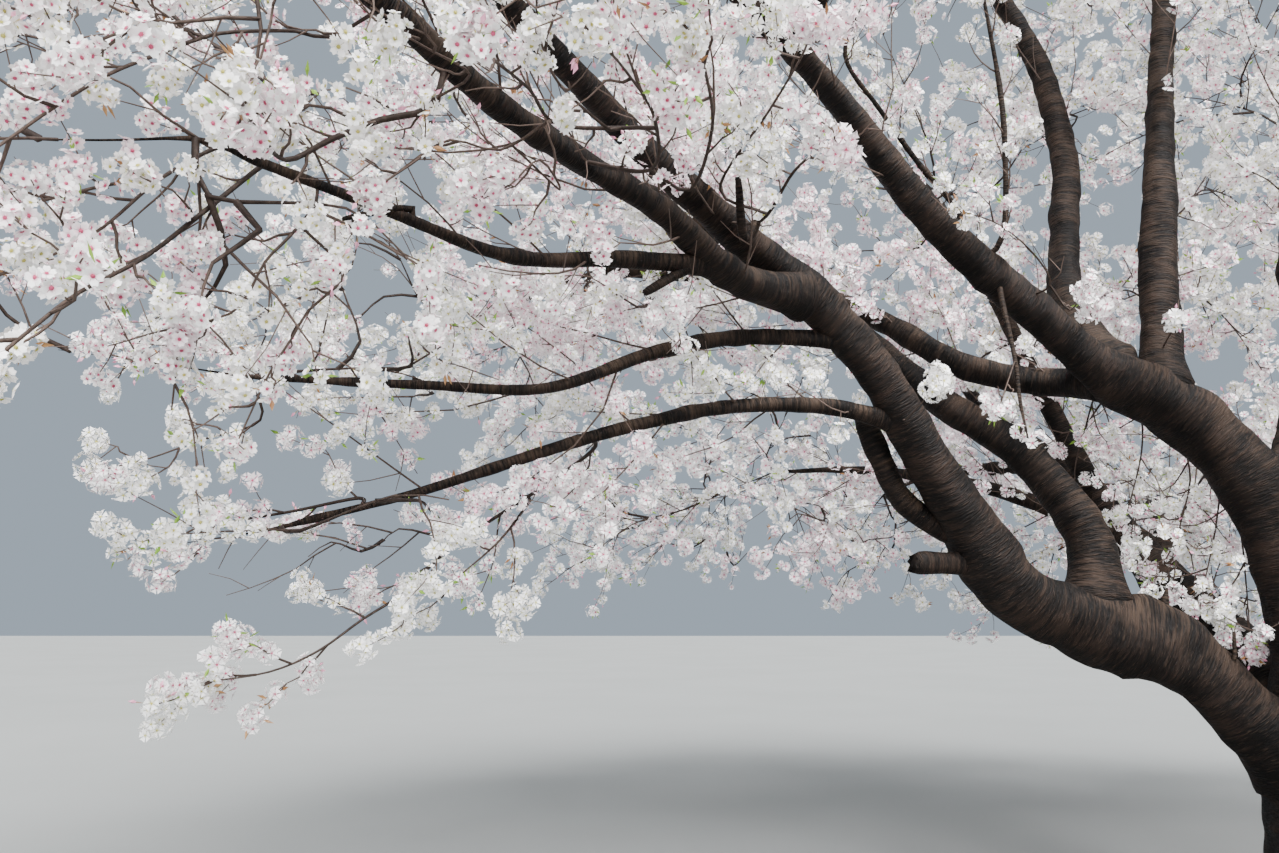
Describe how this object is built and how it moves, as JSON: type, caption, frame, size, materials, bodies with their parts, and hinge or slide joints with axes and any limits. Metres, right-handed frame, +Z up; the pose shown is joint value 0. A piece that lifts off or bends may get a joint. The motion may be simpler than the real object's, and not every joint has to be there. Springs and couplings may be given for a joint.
{
  "type": "white cherry blossom tree",
  "caption": "Spreading white-flowered cherry tree in full bloom, with a short flared trunk, low forked boughs and airy masses of blossom, for gardens and parks.",
  "frame": {"origin": "centre of the flat cut under the trunk, at ground level", "axes": "+Z up; -X towards the side of the long low bough"},
  "size_m": [11.9714, 10.6856, 7.6279],
  "materials": {
    "bark": "rough dark brown bark with level rings of pores",
    "blossom": "matte white petals with a faint pink tint on dark twigs"
  },
  "bodies": {
    "root": {"blossom_back_mast": "blossom", "blossom_cross": "blossom", "blossom_edge_mast": "blossom", "blossom_elbow": "blossom", "blossom_fork": "blossom", "blossom_front_arm": "blossom", "blossom_front_right": "blossom", "blossom_front_right_climber": "blossom", "blossom_front_right_far_arm": "blossom", "blossom_front_right_near_arm": "blossom", "blossom_front_right_outer_arm": "blossom", "blossom_low_left": "blossom", "blossom_lower_left_arm": "blossom", "blossom_mast": "blossom", "blossom_reach": "blossom", "blossom_rear": "blossom", "blossom_rear_climber": "blossom", "blossom_rear_far_arm": "blossom", "blossom_rear_near_arm": "blossom", "blossom_rear_outer_arm": "blossom", "blossom_right": "blossom", "blossom_right_climber": "blossom", "blossom_right_far_arm": "blossom", "blossom_right_near_arm": "blossom", "blossom_right_outer_arm": "blossom", "blossom_rise": "blossom", "blossom_shoulder": "blossom", "blossom_upper_left_arm": "blossom", "bough_back_mast": "bark", "bough_cross": "bark", "bough_edge_mast": "bark", "bough_elbow": "bark", "bough_fork": "bark", "bough_front_arm": "bark", "bough_front_right": "bark", "bough_front_right_climber": "bark", "bough_front_right_far_arm": "bark", "bough_front_right_near_arm": "bark", "bough_front_right_outer_arm": "bark", "bough_low_left": "bark", "bough_lower_left_arm": "bark", "bough_mast": "bark", "bough_reach": "bark", "bough_rear": "bark", "bough_rear_climber": "bark", "bough_rear_far_arm": "bark", "bough_rear_near_arm": "bark", "bough_rear_outer_arm": "bark", "bough_right": "bark", "bough_right_climber": "bark", "bough_right_far_arm": "bark", "bough_right_near_arm": "bark", "bough_right_outer_arm": "bark", "bough_rise": "bark", "bough_shoulder": "bark", "bough_upper_left_arm": "bark", "trunk": "bark"}
  },
  "joints": []
}
